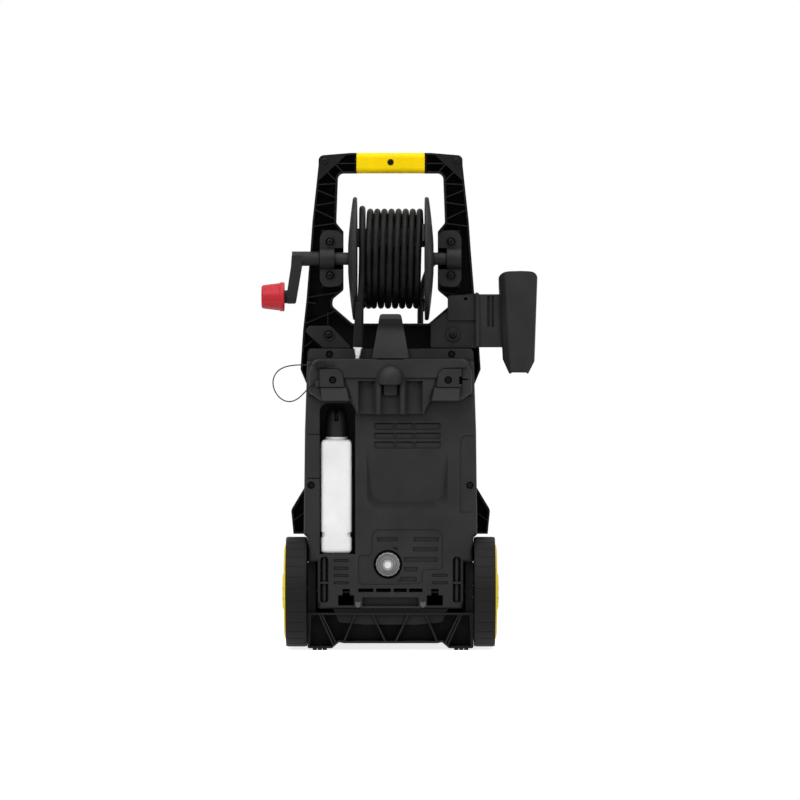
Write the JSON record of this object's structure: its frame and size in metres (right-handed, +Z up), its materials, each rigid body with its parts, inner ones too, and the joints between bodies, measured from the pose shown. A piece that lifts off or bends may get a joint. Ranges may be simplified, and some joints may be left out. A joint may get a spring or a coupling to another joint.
{
  "type": "pressure washer",
  "caption": "Upright electric pressure washer on wheels, with a hand-cranked hose reel between the uprights of its handle, a holster and a detergent bottle.",
  "frame": {"origin": "on the floor, on the machine's mid-plane, between the near and the far feet", "axes": "+Z up, +X to the holster's side, -Y to the service side with the reel and the bottle"},
  "size_m": [0.4158, 0.3844, 0.7452],
  "materials": {
    "frame_black": "matte",
    "cover_grey": "satin",
    "grip_yellow": "satin",
    "hub_yellow": "satin",
    "knob_red": "satin",
    "bottle_white": "satin",
    "hose_rubber": "satin",
    "tread_rubber": "matte",
    "steel": "brushed",
    "black_steel": "brushed",
    "reel_black": "satin",
    "zinc": "bright",
    "connector_grey": "satin",
    "aluminium": "cast",
    "brass": "machined",
    "inner_plastic": "matte"
  },
  "bodies": {
    "chassis": {"main_frame": "frame_black", "base_frame": "frame_black", "front_cover": "frame_black", "bearing_caps": "reel_black", "brace_plate": "reel_black", "hose_swivel": "reel_black", "rear_cover": "cover_grey", "lance_holder": "cover_grey", "top_hook": "cover_grey", "holster_bracket": "cover_grey", "gun_holster": "cover_grey", "grip_near_half": "grip_yellow", "grip_far_half": "grip_yellow", "hose_free_end": "hose_rubber", "hose_sleeve": "hose_rubber", "hose_supply_run": "hose_rubber", "needle_tether": "hose_rubber", "feet": "tread_rubber", "hose_grommet": "tread_rubber", "cable_gland": "tread_rubber", "axle": "steel", "axle_clips": "steel", "motor_stator": "steel", "motor_bearings": "steel", "pistons": "steel", "hose_nipple": "zinc", "frame_screws": "black_steel", "cover_screws": "black_steel", "cleaning_needle": "black_steel", "inlet_collar": "connector_grey", "inlet_nipple": "connector_grey", "inlet_filter": "inner_plastic", "bearing_bushes": "inner_plastic", "switch_box": "inner_plastic", "capacitor": "inner_plastic", "pump_body": "aluminium", "pump_head": "aluminium", "end_shields": "aluminium", "outlet_pipe": "brass", "inlet_pipe": "brass"},
    "reel": {"reel_flange_left": "reel_black", "reel_flange_right": "reel_black", "drum_cage": "reel_black", "stub_axle_left": "black_steel", "stub_axle_right": "black_steel", "crank_arm": "reel_black", "crank_pin": "black_steel", "hose_winding": "hose_rubber"},
    "knob": {"crank_knob": "knob_red"},
    "left_wheel": {"wheel_left": "reel_black", "wheel_disc_left": "grip_yellow", "hub_cap_left": "hub_yellow"},
    "right_wheel": {"wheel_right": "reel_black", "wheel_disc_right": "grip_yellow", "hub_cap_right": "hub_yellow"},
    "switch": {"switch_knob": "knob_red"},
    "bottle": {"detergent_bottle": "bottle_white"},
    "cap": {"bottle_cap": "reel_black", "suction_tube": "inner_plastic"},
    "rotor": {"motor_rotor": "steel"}
  },
  "joints": [
    {"name": "reel_turn", "type": "hinge", "parent": "chassis", "child": "reel", "pos_m": [0, -0.06, 0.5855], "axis": [1, 0, 0], "continuous": true},
    {"name": "knob_spin", "type": "hinge", "parent": "reel", "child": "knob", "pos_m": [-0.177, -0.06, 0.528], "axis": [1, 0, 0], "continuous": true},
    {"name": "left_wheel_spin", "type": "hinge", "parent": "chassis", "child": "left_wheel", "pos_m": [-0.14, -0.105, 0.0855], "axis": [1, 0, 0], "continuous": true},
    {"name": "right_wheel_spin", "type": "hinge", "parent": "chassis", "child": "right_wheel", "pos_m": [0.14, -0.105, 0.0855], "axis": [1, 0, 0], "continuous": true},
    {"name": "switch_turn", "type": "hinge", "parent": "chassis", "child": "switch", "pos_m": [0, 0.18, 0.33], "axis": [0, 1, 0], "range_deg": [0, 90]},
    {"name": "bottle_slide", "type": "slide", "parent": "chassis", "child": "bottle", "axis": [0, -1, 0], "range_m": [0, 0.09]},
    {"name": "cap_turn", "type": "hinge", "parent": "bottle", "child": "cap", "pos_m": [-0.0811, -0.1145, 0.34], "axis": [0, 0, 1], "range_deg": [0, 360]},
    {"name": "rotor_spin", "type": "hinge", "parent": "chassis", "child": "rotor", "pos_m": [-0.018, 0.088, 0.29], "axis": [0, 0, 1], "continuous": true}
  ]
}
